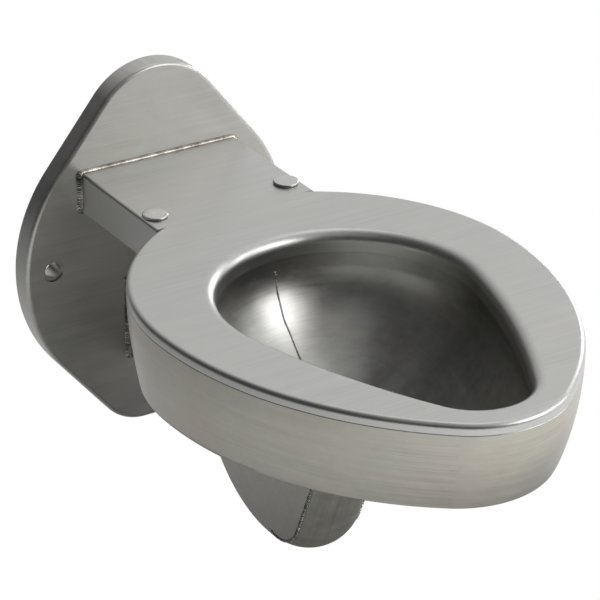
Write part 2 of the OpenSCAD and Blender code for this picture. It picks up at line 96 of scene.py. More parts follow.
def gridMesh(name, grid, loopRows=False, loopColumns=False, caps=False):
    # Quads over a (rows, columns, 3) grid in millimetres. A UV map holds the length along the
    # columns and along the rows in metres, and the faces are turned so that they point outwards
    rows, columns = grid.shape[:2]
    rowNext = np.arange(rows if loopRows else rows - 1)
    columnNext = np.arange(columns if loopColumns else columns - 1)
    r, c = np.meshgrid(rowNext, columnNext, indexing="ij")
    r2, c2 = (r + 1) % rows, (c + 1) % columns
    quads = np.stack([r * columns + c, r * columns + c2, r2 * columns + c2, r2 * columns + c], -1)
    quads = quads.reshape(-1, 4)
    around = np.concatenate([grid, grid[:, :1]], 1)
    down = np.concatenate([grid, grid[:1]], 0)
    alongU = np.cumsum(np.linalg.norm(np.diff(around, axis=1), axis=2).mean(0))
    alongV = np.cumsum(np.linalg.norm(np.diff(down, axis=0), axis=2).mean(1))
    u, v = np.concatenate([[0], alongU]) * mm, np.concatenate([[0], alongV]) * mm
    uv = np.stack([np.stack([u[c], v[r]], -1), np.stack([u[c + 1], v[r]], -1),
                   np.stack([u[c + 1], v[r + 1]], -1), np.stack([u[c], v[r + 1]], -1)], -2).reshape(-1, 4, 2)
    points = grid.reshape(-1, 3)
    a, b, d = (points[quads[:, k]] for k in (0, 1, 2))
    e = points[quads[:, 3]]
    volume = np.einsum("ij,ij->", a, np.cross(b, d)) + np.einsum("ij,ij->", a, np.cross(d, e))
    if volume < 0:
        quads, uv = quads[:, ::-1], uv[:, ::-1]
    faces = quads.tolist()
    uvs = uv.reshape(-1, 2)
    if caps:
        first, last = list(range(columns)), list(range((rows - 1) * columns, rows * columns))
        ends = [first[::-1], last] if volume > 0 else [first, last[::-1]]
        faces += ends
        flat = np.array([points[i] for end in ends for i in end])
        uvs = np.concatenate([uvs, flat[:, :2] * mm])
    mesh = bpy.data.meshes.new(name)
    mesh.from_pydata(((points + [0, 0, seatTop]) * mm).tolist(), [], faces)
    mesh.uv_layers.new(name="skin").data.foreach_set("uv", uvs.astype(np.float32).ravel())
    mesh.polygons.foreach_set("use_smooth", np.ones(len(faces), bool))
    mesh.update()
    return mesh


def objectOf(mesh):
    obj = bpy.data.objects.new(mesh.name, mesh)
    bpy.context.scene.collection.objects.link(obj)
    return obj


def applied(obj):
    # The object's mesh with its modifiers applied
    done = bpy.data.meshes.new_from_object(obj.evaluated_get(bpy.context.evaluated_depsgraph_get()))
    old = obj.data
    obj.modifiers.clear()
    obj.data = done
    bpy.data.meshes.remove(old)


def cut(obj, *cutters):
    # Takes the cutters' volumes out of the object
    for cutter in cutters:
        modifier = obj.modifiers.new("cut", "BOOLEAN")
        modifier.operation, modifier.solver, modifier.object = "DIFFERENCE", "EXACT", cutter
        applied(obj)
        bpy.data.objects.remove(cutter)
    obj.data.polygons.foreach_set("use_smooth", np.ones(len(obj.data.polygons), bool))


def rodCutter(x, z, y0, y1, r, steps=64):
    # A rod along Y as a cutter
    angle = np.linspace(0, 2 * math.pi, steps, endpoint=False)
    ring = np.stack([x + r * np.cos(angle), np.zeros(steps), z + r * np.sin(angle)], 1)
    ends = np.stack([ring + [0, y0, 0], ring + [0, y1, 0]])
    return objectOf(gridMesh("rod", ends, loopColumns=True, caps=True))


def prismCutter(points, x0, x1):
    # An outline in Y and Z, carried along X, as a cutter
    ring = np.column_stack([np.zeros(len(points)), points])
    ends = np.stack([ring + [x0, 0, 0], ring + [x1, 0, 0]])
    return objectOf(gridMesh("prism", ends, loopColumns=True, caps=True))


def blockCutter(low, high):
    corners = [[low[1], low[2]], [high[1], low[2]], [high[1], high[2]], [low[1], high[2]]]
    return prismCutter(np.array(corners, float), low[0], high[0])


def finish(obj, material, nodes, sharpAngle=35):
    # Gives a piece its material and its place on the frame
    obj.data.set_sharp_from_angle(angle=math.radians(sharpAngle))
    obj.data.materials.clear()
    obj.data.materials.append(material)
    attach(obj, "root")
    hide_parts(*nodes)
    return obj


def joined(name, objects):
    # Several objects as one mesh, points and UV map
    if len(objects) == 1:
        return objects[0]
    with bpy.context.temp_override(active_object=objects[0], selected_editable_objects=objects,
                                   selected_objects=objects):
        bpy.ops.object.join()
    return objects[0]


def newGroup(name, inputs, outputs):
    group = bpy.data.node_groups.new(name, "ShaderNodeTree")
    for socketName, kind, value in inputs:
        socket = group.interface.new_socket(name=socketName, in_out="INPUT", socket_type=kind)
        if value is not None:
            socket.default_value = value
    for socketName, kind in outputs:
        group.interface.new_socket(name=socketName, in_out="OUTPUT", socket_type=kind)
    nodes = group.nodes
    return group, nodes.new("NodeGroupInput"), nodes.new("NodeGroupOutput")


def math2(tree, operation, a, b):
    # A Math node on two values or sockets
    node = tree.nodes.new("ShaderNodeMath")
    node.operation = operation
    for socket, value in zip(node.inputs, (a, b)):
        if hasattr(value, "links"):
            tree.links.new(value, socket)
        elif value is not None:
            socket.default_value = value
    return node.outputs[0]


def remap(tree, value, fromLow, fromHigh, toLow, toHigh):
    node = tree.nodes.new("ShaderNodeMapRange")
    tree.links.new(value, node.inputs["Value"])
    numbers = {"From Min": fromLow, "From Max": fromHigh, "To Min": toLow, "To Max": toHigh}
    for key, number in numbers.items():
        if hasattr(number, "links"):
            tree.links.new(number, node.inputs[key])
        else:
            node.inputs[key].default_value = number
    return node.outputs["Result"]


def noiseOf(tree, vector, scale, detail=2.0, rough=0.5):
    node = tree.nodes.new("ShaderNodeTexNoise")
    node.inputs["Scale"].default_value = scale
    node.inputs["Detail"].default_value = detail
    node.inputs["Roughness"].default_value = rough
    tree.links.new(vector, node.inputs["Vector"])
    return node.outputs["Fac"]


def stretched(tree, vector, scale):
    # The vector times a scale socket or three numbers
    node = tree.nodes.new("ShaderNodeVectorMath")
    node.operation = "MULTIPLY"
    tree.links.new(vector, node.inputs[0])
    if hasattr(scale, "links"):
        tree.links.new(scale, node.inputs[1])
    else:
        node.inputs[1].default_value = scale
    return node.outputs["Vector"]


def brushGroup():
    # Brush lines: two noises drawn out along the stroke, one fine and one of longer streaks
    group, given, out = newGroup(
        "brushLines",
        [("Vector", "NodeSocketVector", None), ("Stroke", "NodeSocketVector", (4.0, 2600.0, 2600.0)),
         ("Streak", "NodeSocketVector", (1.5, 240.0, 240.0))],
        [("Fine", "NodeSocketFloat"), ("Streaks", "NodeSocketFloat")])
    fine = noiseOf(group, stretched(group, given.outputs["Vector"], given.outputs["Stroke"]), 1.0, 2.0, 0.6)
    drawn = stretched(group, given.outputs["Vector"], given.outputs["Streak"])
    streaks = noiseOf(group, drawn, 1.0, 3.0, 0.55)
    group.links.new(fine, out.inputs["Fine"])
    group.links.new(streaks, out.inputs["Streaks"])
    return group


def cloudGroup():
    # Blotches of a cleaned and handled sheet: a wide cloud, a smaller one and faint smears
    group, given, out = newGroup(
        "sheetClouds",
        [("Vector", "NodeSocketVector", None), ("Size", "NodeSocketFloat", 9.0),
         ("Warm", "NodeSocketColor", (1.0, 0.9, 0.82, 1.0)),
         ("Cool", "NodeSocketColor", (0.92, 1.0, 0.95, 1.0)),
         ("Amount", "NodeSocketFloat", 0.5)],
        [("Tint", "NodeSocketColor"), ("Smear", "NodeSocketFloat")])
    sized = group.nodes.new("ShaderNodeVectorMath")
    sized.operation = "SCALE"
    group.links.new(given.outputs["Vector"], sized.inputs[0])
    group.links.new(given.outputs["Size"], sized.inputs["Scale"])
    warm = remap(group, noiseOf(group, sized.outputs["Vector"], 1.0, 3.0, 0.55), 0.42, 0.66, 0.0, 1.0)
    moved = group.nodes.new("ShaderNodeVectorMath")
    moved.operation = "ADD"
    group.links.new(sized.outputs["Vector"], moved.inputs[0])
    moved.inputs[1].default_value = (7.3, 2.1, 4.7)
    cool = remap(group, noiseOf(group, moved.outputs["Vector"], 1.4, 3.0, 0.6), 0.45, 0.68, 0.0, 1.0)
    smear = noiseOf(group, stretched(group, moved.outputs["Vector"], (1.0, 2.4, 3.0)), 2.6, 4.0, 0.6)
    white = (1.0, 1.0, 1.0, 1.0)
    tint = None
    for mask, colour in ((warm, "Warm"), (cool, "Cool")):
        mix = group.nodes.new("ShaderNodeMix")
        mix.data_type = "RGBA"
        group.links.new(math2(group, "MULTIPLY", mask, given.outputs["Amount"]), mix.inputs["Factor"])
        if tint is None:
            mix.inputs["A"].default_value = white
        else:
            group.links.new(tint, mix.inputs["A"])
        group.links.new(given.outputs[colour], mix.inputs["B"])
        tint = mix.outputs["Result"]
    group.links.new(tint, out.inputs["Tint"])
    group.links.new(smear, out.inputs["Smear"])
    return group


brushLines = brushGroup()
sheetClouds = cloudGroup()


def steel(name, look):
    # A brushed sheet: base colour tinted by clouds and streaks, roughness and bump by the brush
    material = bpy.data.materials.new(name)
    material.use_nodes = True
    tree = material.node_tree
    shader = tree.nodes["Principled BSDF"]
    shader.inputs["Metallic"].default_value = 1.0
    place = tree.nodes.new("ShaderNodeTexCoord")
    source = place.outputs["UV" if look["follows"] == "skin" else "Object"]
    brush = tree.nodes.new("ShaderNodeGroup")
    brush.node_tree = brushLines
    brush.inputs["Stroke"].default_value = look["stroke"]
    brush.inputs["Streak"].default_value = look["streak"]
    tree.links.new(source, brush.inputs["Vector"])
    clouds = tree.nodes.new("ShaderNodeGroup")
    clouds.node_tree = sheetClouds
    clouds.inputs["Size"].default_value = look["cloudSize"]
    clouds.inputs["Warm"].default_value = (*look["warm"], 1.0)
    clouds.inputs["Cool"].default_value = (*look["cool"], 1.0)
    clouds.inputs["Amount"].default_value = look["cloudAmount"]
    tree.links.new(place.outputs["Object"], clouds.inputs["Vector"])
    streakDepth, fineDepth, spread = (look[key] for key in ("streakDepth", "fineDepth", "roughSpread"))
    level = math2(tree, "ADD",
                  remap(tree, brush.outputs["Streaks"], 0.3, 0.7, 1.0 - streakDepth, 1.0 + streakDepth),
                  remap(tree, brush.outputs["Fine"], 0.3, 0.7, -fineDepth, fineDepth))
    level = math2(tree, "MULTIPLY", level, remap(tree, clouds.outputs["Smear"], 0.3, 0.7,
                                                 1.0 - look["smearDepth"], 1.0 + look["smearDepth"]))
    colour = tree.nodes.new("ShaderNodeVectorMath")
    colour.operation = "MULTIPLY"
    colour.inputs[1].default_value = look["colour"]
    tree.links.new(clouds.outputs["Tint"], colour.inputs[0])
    scaled = tree.nodes.new("ShaderNodeVectorMath")
    scaled.operation = "SCALE"
    tree.links.new(colour.outputs["Vector"], scaled.inputs[0])
    tree.links.new(level, scaled.inputs["Scale"])
    tree.links.new(scaled.outputs["Vector"], shader.inputs["Base Color"])
    rough = math2(tree, "ADD", remap(tree, brush.outputs["Streaks"], 0.3, 0.7, -spread, spread),
                  remap(tree, clouds.outputs["Smear"], 0.3, 0.7, look["rough"] - 0.03, look["rough"] + 0.03))
    tree.links.new(rough, shader.inputs["Roughness"])
    bump = tree.nodes.new("ShaderNodeBump")
    bump.inputs["Strength"].default_value = look["bump"]
    bump.inputs["Distance"].default_value = 0.0002
    tree.links.new(brush.outputs["Fine"], bump.inputs["Height"])
    tree.links.new(bump.outputs["Normal"], shader.inputs["Normal"])
    return material


plainLook = {
    "follows": "object", "stroke": (6.0, 2400.0, 2400.0), "streak": (2.0, 160.0, 160.0),
    "colour": (0.42, 0.42, 0.408), "rough": 0.35, "roughSpread": 0.03, "bump": 0.2,
    "streakDepth": 0.022, "fineDepth": 0.1, "smearDepth": 0.03,
    "cloudSize": 7.0, "cloudAmount": 0.12, "warm": (1.0, 0.93, 0.88), "cool": (0.93, 1.0, 0.96),
}
skirtLook = dict(plainLook, follows="skin", stroke=(6.0, 2200.0, 1.0), streak=(2.5, 140.0, 1.0),
                 colour=(0.375, 0.362, 0.325), rough=0.36, cloudAmount=0.55, cloudSize=11.0,
                 streakDepth=0.05, fineDepth=0.13, smearDepth=0.06)
bowlLook = dict(plainLook, follows="skin", stroke=(6.0, 1900.0, 1.0), streak=(3.0, 160.0, 1.0),
                colour=(0.375, 0.375, 0.36), rough=0.33, cloudAmount=0.3, cloudSize=16.0, fineDepth=0.09,
                smearDepth=0.08)
panLook = dict(plainLook, stroke=(6.0, 1.0, 2200.0), streak=(2.0, 1.0, 120.0), colour=(0.41, 0.405, 0.385),
               rough=0.38, cloudAmount=0.3, smearDepth=0.06)
# The trap's base colour is painted light: lighter than the other sheets' to make up for the dark floor that
# it reflects below it
trapPaintedLightLook = dict(plainLook, follows="skin", stroke=(1900.0, 6.0, 1.0), streak=(150.0, 3.0, 1.0),
                colour=(0.58, 0.565, 0.51), rough=0.42, cloudAmount=0.45, cloudSize=18.0, smearDepth=0.08)
sideLook = dict(trapPaintedLightLook, follows="object", stroke=(1.0, 500.0, 1900.0), streak=(1.0, 60.0, 120.0),
                colour=(0.37, 0.36, 0.335))
ductLook = dict(plainLook, stroke=(1900.0, 1900.0, 6.0), streak=(120.0, 120.0, 3.0),
                colour=(0.35, 0.34, 0.32), rough=0.42, cloudAmount=0.35, smearDepth=0.08)
millLook = dict(plainLook, colour=(0.32, 0.315, 0.3), rough=0.47, cloudAmount=0.3, smearDepth=0.1)
tubeLook = dict(plainLook, stroke=(1900.0, 8.0, 1900.0), streak=(120.0, 4.0, 120.0),
                colour=(0.38, 0.375, 0.36), rough=0.36)
plugLook = dict(plainLook, stroke=(1500.0, 1500.0, 900.0), streak=(300.0, 300.0, 200.0),
                colour=(0.46, 0.46, 0.45), rough=0.3)


def weldSteel(name, look):
    # Weld metal: straw to brown heat colours in patches of noise
    material = bpy.data.materials.new(name)
    material.use_nodes = True
    tree = material.node_tree
    shader = tree.nodes["Principled BSDF"]
    shader.inputs["Metallic"].default_value = 1.0
    place = tree.nodes.new("ShaderNodeTexCoord")
    patches = noiseOf(tree, place.outputs["Object"], look["patchScale"], 3.0, 0.6)
    ramp = tree.nodes.new("ShaderNodeValToRGB")
    ramp.color_ramp.elements[0].position, ramp.color_ramp.elements[0].color = 0.35, (*look["dark"], 1)
    ramp.color_ramp.elements[1].position, ramp.color_ramp.elements[1].color = 0.65, (*look["bright"], 1)
    tree.links.new(patches, ramp.inputs["Fac"])
    tree.links.new(ramp.outputs["Color"], shader.inputs["Base Color"])
    fine = noiseOf(tree, place.outputs["Object"], 900.0, 3.0, 0.6)
    rough = remap(tree, fine, 0.3, 0.7, look["rough"] - 0.08, look["rough"] + 0.08)
    tree.links.new(rough, shader.inputs["Roughness"])
    bump = tree.nodes.new("ShaderNodeBump")
    bump.inputs["Strength"].default_value = 0.3
    bump.inputs["Distance"].default_value = 0.0002
    tree.links.new(fine, bump.inputs["Height"])
    tree.links.new(bump.outputs["Normal"], shader.inputs["Normal"])
    return material


weldLook = {"patchScale": 60.0, "dark": (0.14, 0.12, 0.1), "bright": (0.46, 0.44, 0.4), "rough": 0.27}
deckSteel = steel("deckSteel", plainLook)
skirtSteel = steel("skirtSteel", skirtLook)
bowlSteel = steel("bowlSteel", bowlLook)
panSteel = steel("panSteel", panLook)
trapPaintedLightSteel = steel("trapPaintedLightSteel", trapPaintedLightLook)
sideSteel = steel("sideSteel", sideLook)
ductSteel = steel("ductSteel", ductLook)
millSteel = steel("millSteel", millLook)
tubeSteel = steel("tubeSteel", tubeLook)
plugSteel = steel("plugSteel", plugLook)
beadSteel = weldSteel("beadSteel", weldLook)
print("materials made")


seat = {"noseR": 91, "sideR": 323, "backR": 200, "edgeR": 5, "rim": 10, "sheet": 2,
        "bendSteps": 12, "steps": [64, 64, 48, 48, 48, 64]}
mouth = {"backR": 116, "noseR": 50, "sideR": 635, "front": 31, "length": 345, "lipR": 11, "lipDrop": 9.5,
         "lipSteps": 15, "steps": [64, 56, 160, 56]}

reach = -seatLow[1]
seatHalf = seatHigh[0]
noseY = -(reach - seat["noseR"])
sideX = seatHalf - seat["sideR"]
sideY = noseY + math.sqrt((seat["sideR"] - seat["noseR"]) ** 2 - sideX ** 2)
rearX = seatHalf - seat["backR"]
armHalf = armHigh[0]
armAngle = math.acos((armHalf - rearX) / seat["backR"])
armY = sideY + seat["backR"] * math.sin(armAngle)
closeY = sideY - rearX * math.tan(armAngle)
closeR = seat["backR"] + rearX / math.cos(armAngle)
rearReach = seat["backR"] * math.sin(armAngle)
seatCircles = [(0, noseY, seat["noseR"]), (sideX, sideY, seat["sideR"]), (rearX, sideY, seat["backR"]),
               (0, closeY, closeR), (-rearX, sideY, seat["backR"]), (-sideX, sideY, seat["sideR"])]

tipY = -(reach - mouth["front"]) + mouth["noseR"]
backY = -(reach - mouth["front"]) + mouth["length"] - mouth["backR"]
tipToSide, backToSide = mouth["sideR"] - mouth["noseR"], mouth["sideR"] - mouth["backR"]
sideAhead = (tipToSide ** 2 - backToSide ** 2 + (backY - tipY) ** 2) / (2 * (backY - tipY))
sideAcross = math.sqrt(tipToSide ** 2 - sideAhead ** 2)
mouthCircles = [(0, tipY, mouth["noseR"]), (-sideAcross, tipY + sideAhead, mouth["sideR"]),
                (0, backY, mouth["backR"]), (sideAcross, tipY + sideAhead, mouth["sideR"])]


def seatRing(out, z):
    return atHeight(outline(seatCircles, seat["steps"], out), z)


def mouthRing(out, z):
    return atHeight(outline(mouthCircles, mouth["steps"], out), z)


def makeSeatDeck():
    # One closed section of sheet, outer edge, flat and lip, carried round the two outlines
    e, t, rim, lip, drop = seat["edgeR"], seat["sheet"], seat["rim"], mouth["lipR"], mouth["lipDrop"]
    bend = np.linspace(0, math.pi / 2, seat["bendSteps"])
    roll = np.linspace(0, math.pi / 2, mouth["lipSteps"])
    soft = 0.4  # broken corner along the sheet's cut edges
    rings = [seatRing(-soft, -rim), seatRing(0, -rim + soft), seatRing(0, -rim + 2 * soft)]
    rings += [seatRing(-e * (1 - math.cos(a)), -e * (1 - math.sin(a))) for a in bend]
    rings += [seatRing(-e - 0.5, 0), mouthRing(lip + 0.5, 0)]
    rings += [mouthRing(lip * (1 - math.sin(a)), lip * (math.cos(a) - 1)) for a in roll]
    foot = -lip - drop
    rings += [mouthRing(0, -lip - 0.5), mouthRing(0, foot + 2 * soft), mouthRing(0, foot + soft),
              mouthRing(soft, foot), mouthRing(t - soft, foot), mouthRing(t, foot + soft)]
    rings += [mouthRing(lip - (lip - t) * math.sin(a), (lip - t) * math.cos(a) - lip) for a in roll[::-1]]
    rings += [seatRing(-e + (e - t) * math.cos(a), -e + (e - t) * math.sin(a)) for a in bend[::-1]]
    rings += [seatRing(-t, -rim + soft), seatRing(-t + soft, -rim)]
    grid = np.stack(rings)
    grid[:, :, 1] = np.minimum(grid[:, :, 1], armY)
    deck = objectOf(gridMesh("seatDeck", grid, loopRows=True, loopColumns=True))
    return finish(deck, deckSteel, ["seat_deck"])


skirt = {"draw": 7, "noseDraw": 11, "rearDraw": 34, "drawPower": 1.9, "hem": 8, "cornerR": 1.6, "rows": 40}
skirtDepth = -skirtLow[2]


def skirtRing(inset, depth, lift=0.0):
    # The seat's outline drawn in with depth, further at the nose and the rear
    share = depth ** skirt["drawPower"]
    z = -seat["rim"] - depth * (skirtDepth - seat["rim"]) + lift
    points = outline(seatCircles, seat["steps"], -inset - skirt["draw"] * share)
    ahead = np.maximum(0, (sideY - points[:, 1]) / (sideY + reach))
    behind = np.maximum(0, (points[:, 1] - sideY) / rearReach)
    points[:, 1] += share * (skirt["noseDraw"] * ahead ** 2 - skirt["rearDraw"] * behind ** 2)
    return atHeight(points, z)


def makeSkirt():
    # Drawn band with a rounded foot and a turned-in hem, notched for the arm
    t, r, soft = seat["sheet"], skirt["cornerR"], 0.4
    depths = np.linspace(0, 1, skirt["rows"])
    corner = np.linspace(0, math.pi / 2, 6)
    rings = [skirtRing(t - soft, 0), skirtRing(soft, 0), skirtRing(0, 0, -soft), skirtRing(0, 0, -2 * soft)]
    rings += [skirtRing(0, d) for d in depths[1:-1]]
    rings += [skirtRing(r * (1 - math.cos(a)), 1, r * (1 - math.sin(a))) for a in corner]
    rings += [skirtRing(skirt["hem"], 1), skirtRing(skirt["hem"], 1, t), skirtRing(t + 0.5, 1, t)]
    rings += [skirtRing(t, d) for d in depths[-2:0:-1]]
    band = objectOf(gridMesh("skirt", np.stack(rings), loopRows=True, loopColumns=True))
    cut(band, blockCutter((-armHalf, armY, armLow[2]), (armHalf, 0, 10)))
    return finish(band, skirtSteel, ["skirt"])


pan = {"crownR": 72, "lobeR": 158, "footR": 52, "footX": 15.5, "lobeZ": -4.5, "edgeR": 4, "sheet": 2,
       "edgeSteps": 10, "steps": [48, 64, 56, 64, 48], "holeR": 11, "pipeR": 12.7}
panDepth = -panLow[1]
panTop, panFoot = panHigh[2] + seatTop, panLow[2] + seatTop
panCircles = [(pan["footX"], panFoot + pan["footR"], pan["footR"]),
              (panHigh[0] - pan["lobeR"], pan["lobeZ"], pan["lobeR"]),
              (0, panTop - pan["crownR"], pan["crownR"]),
              (pan["lobeR"] - panHigh[0], pan["lobeZ"], pan["lobeR"]),
              (-pan["footX"], panFoot + pan["footR"], pan["footR"])]
pipeZ = -(-rimLow[2] / 2 + 1)


def panRing(out, depth):
    points = outline(panCircles, pan["steps"], out)
    return np.column_stack([points[:, 0], np.full(len(points), -float(depth)), points[:, 1] - seatTop])


def boltHoles():
    # Centres of the three holes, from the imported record's mounts
    mounts = {m["name"]: m for m in frame["record"]["mounts"]}
    half = mounts["wall_bolts"]["dims"]["spacing_x_mm"] / 2
    low = mounts["lower_bolt"]["pos_m"][2] / mm - seatTop
    return [(half, -seatTop), (-half, -seatTop), (0, low)]


def makeWallFlange():
    # Shallow pan: a wall off the wall's face, a rolled edge and a flat face, all one sheet
    e, t, soft = pan["edgeR"], pan["sheet"], 0.4
    bend = np.linspace(0, math.pi / 2, pan["edgeSteps"])
    rings = [panRing(-e - 0.6, panDepth - t)]
    rings += [panRing(-e + (e - t) * math.sin(a), panDepth - e + (e - t) * math.cos(a)) for a in bend]
    rings += [panRing(-t, soft), panRing(-t + soft, 0), panRing(-soft, 0), panRing(0, soft)]
    rings += [panRing(-e * (1 - math.cos(a)), panDepth - e * (1 - math.sin(a))) for a in bend]
    rings += [panRing(-e - 0.6, panDepth)]
    plate = objectOf(gridMesh("wallFlange", np.stack(rings), loopColumns=True, caps=True))
    front, back = -panDepth - 1, 1
    holes = [rodCutter(x, z, front, back, pan["holeR"]) for x, z in boltHoles()]
    holes.append(rodCutter(0, pipeZ, front, back, pan["pipeR"]))
    holes.append(blockCutter((ductLow[0], front, ductLow[2]), (ductHigh[0], back, ductHigh[2])))
    cut(plate, *holes)
    return finish(plate, panSteel, ["wall_flange"])


arm = {"edgeR": 3, "sheet": 2, "plugY": 138, "plugSpan": 139.7, "shankR": 5, "bendSteps": 8}
duct = {"edgeR": 2.4, "sheet": 2, "bendSteps": 6}


def sheetSection(half, low, high, edgeR, sheet, steps, openBelow):
    # Closed section in X and Z of a folded sheet: outside bends, then the inside ones
    turn = np.linspace(0, math.pi / 2, steps)

    def corners(r):
        inset = edgeR - r
        x, top, foot = half - edgeR, high - edgeR, low + edgeR
        right = np.stack([x + r * np.cos(turn), top + r * np.sin(turn)], 1)
        left = np.stack([-x - r * np.sin(turn), top + r * np.cos(turn)], 1)
        if openBelow:
            return np.concatenate([[[half - inset, low]], right, left, [[-half + inset, low]]])
        leftFoot = np.stack([-x - r * np.cos(turn), foot - r * np.sin(turn)], 1)
        rightFoot = np.stack([x + r * np.sin(turn), foot - r * np.cos(turn)], 1)
        return np.concatenate([right, left, leftFoot, rightFoot])

    return corners(edgeR), corners(edgeR - sheet)


def makeArm():
    # Top and two sides of one folded sheet, from the flange to the seat
    outer, inner = sheetSection(armHalf, armLow[2], 0.0, arm["edgeR"], arm["sheet"], arm["bendSteps"], True)
    section = np.concatenate([outer, inner[::-1]])
    stations = [-panDepth, armY]
    grid = np.stack([np.column_stack([section[:, 0], np.full(len(section), y), section[:, 1]])
                     for y in stations])
    shell = objectOf(gridMesh("armShell", grid, loopColumns=True, caps=True))
    return finish(shell, deckSteel, ["arm_shell"], sharpAngle=50)


def makeDuct():
    # Square tube of folded sheet, open at both ends
    outer, inner = sheetSection(ductHigh[0], ductLow[2], ductHigh[2], duct["edgeR"], duct["sheet"],
                                duct["bendSteps"], False)
    rings = []
    for section, y in ((outer, ductHigh[1]), (outer, ductLow[1]), (inner, ductLow[1]), (inner, ductHigh[1])):
        rings.append(np.column_stack([section[:, 0], np.full(len(section), y), section[:, 1]]))
    tube = objectOf(gridMesh("wasteDuct", np.stack(rings), loopRows=True, loopColumns=True))
    return finish(tube, ductSteel, ["waste_duct"], sharpAngle=50)


leg = {"outerR": 48.75, "wall": 1.9, "ballY": 293.7, "length": 108, "lean": 22, "flatLength": 85}
bowl = {"gap": 6, "rows": 56, "power": 1.7, "rise": 2}
ballZ = bootLow[2] + leg["outerR"]
lean = math.radians(leg["lean"])
channelDepth = -rimLow[2]


def bowlRing(out, depth):
    # Blend from the mouth's outline to the leg's round, level at the top and leaning at the foot
    share = depth ** bowl["power"]
    top = outline(mouthCircles, mouth["steps"], bowl["gap"] + out)
    count = len(top)
    angle = -math.pi / 2 + 2 * math.pi * (np.arange(count) - mouth["steps"][0] / 2) / count
    r = leg["outerR"] - leg["wall"] + out
    foot = np.stack([r * np.cos(angle),
                     -leg["ballY"] - leg["length"] * math.sin(lean) + r * np.sin(angle) * math.cos(lean),
                     ballZ + leg["length"] * math.cos(lean) + r * np.sin(angle) * math.sin(lean)], 1)
    ring = np.empty((count, 3))
    ring[:, :2] = top * (1 - share) + foot[:, :2] * share
    ring[:, 2] = -channelDepth * (1 - depth) + foot[:, 2] * depth
    return ring


def makeBowl():
    # Inner and outer wall of the bowl, closed at its rim and its outlet
    depths = np.linspace(0, 1, bowl["rows"])
    rim, t, soft = -mouth["lipR"] - mouth["lipDrop"] + bowl["rise"], leg["wall"], 0.3
    rings = [mouthRing(bowl["gap"] + soft, rim), mouthRing(bowl["gap"], rim - soft)]
    rings += [bowlRing(0, d) for d in depths] + [bowlRing(t, d) for d in depths[::-1]]
    rings += [mouthRing(bowl["gap"] + t, rim - soft), mouthRing(bowl["gap"] + t - soft, rim)]
    shell = objectOf(gridMesh("bowl", np.stack(rings), loopRows=True, loopColumns=True))
    return finish(shell, bowlSteel, ["bowl"])


weld = {"bead": 5, "pitch": 2.1, "ripple": 0.34, "points": 9, "seamR": 0.9, "trapR": 1.6, "trapInset": 0.6,
        "turn": 85}


def spaced(path, step):
    # The path with points at even distances
    lengths = np.concatenate([[0], np.cumsum(np.linalg.norm(np.diff(path, axis=0), axis=1))])
    at = np.arange(0, lengths[-1], step)
    return np.stack([np.interp(at, lengths, path[:, k]) for k in range(3)], 1), at


def uneven(at, seed, size):
    # Slow unevenness of a hand weld along its length, from a few sines of odd lengths
    phases = np.random.default_rng(seed).uniform(0, 2 * math.pi, 4)
    waves = [np.sin(2 * math.pi * at / span + phase) for span, phase in zip((61.0, 23.0, 11.3, 5.1), phases)]
    return size * sum(waves) / 4


def roundBead(name, path, radius, seed, flatten=None):
    # A tube along a path whose radius swells in each ripple, a chevron that lags at its sides
    path, at = spaced(path, weld["pitch"] / 8)
    along = np.gradient(path, axis=0)
    along /= np.linalg.norm(along, axis=1)[:, None]
    side = np.cross(along, flatten if flatten is not None else np.array([1.0, 0, 0]))
    side /= np.linalg.norm(side, axis=1)[:, None]
    up = np.cross(side, along)
    angle = np.linspace(0, 2 * math.pi, 20, endpoint=False)
    phase = (at[:, None] + uneven(at, seed, 0.9)[:, None]) / weld["pitch"] + 0.25 * np.sin(angle) ** 2
    swell = 1 - weld["ripple"] * (phase % 1.0) ** 2 + uneven(at, seed + 1, 0.12)[:, None]
    r = radius * swell
    grid = (path[:, None] + side[:, None] * (r * np.cos(angle))[..., None]
            + up[:, None] * (r * np.sin(angle))[..., None])
    return objectOf(gridMesh(name, grid, loopColumns=True, caps=True))


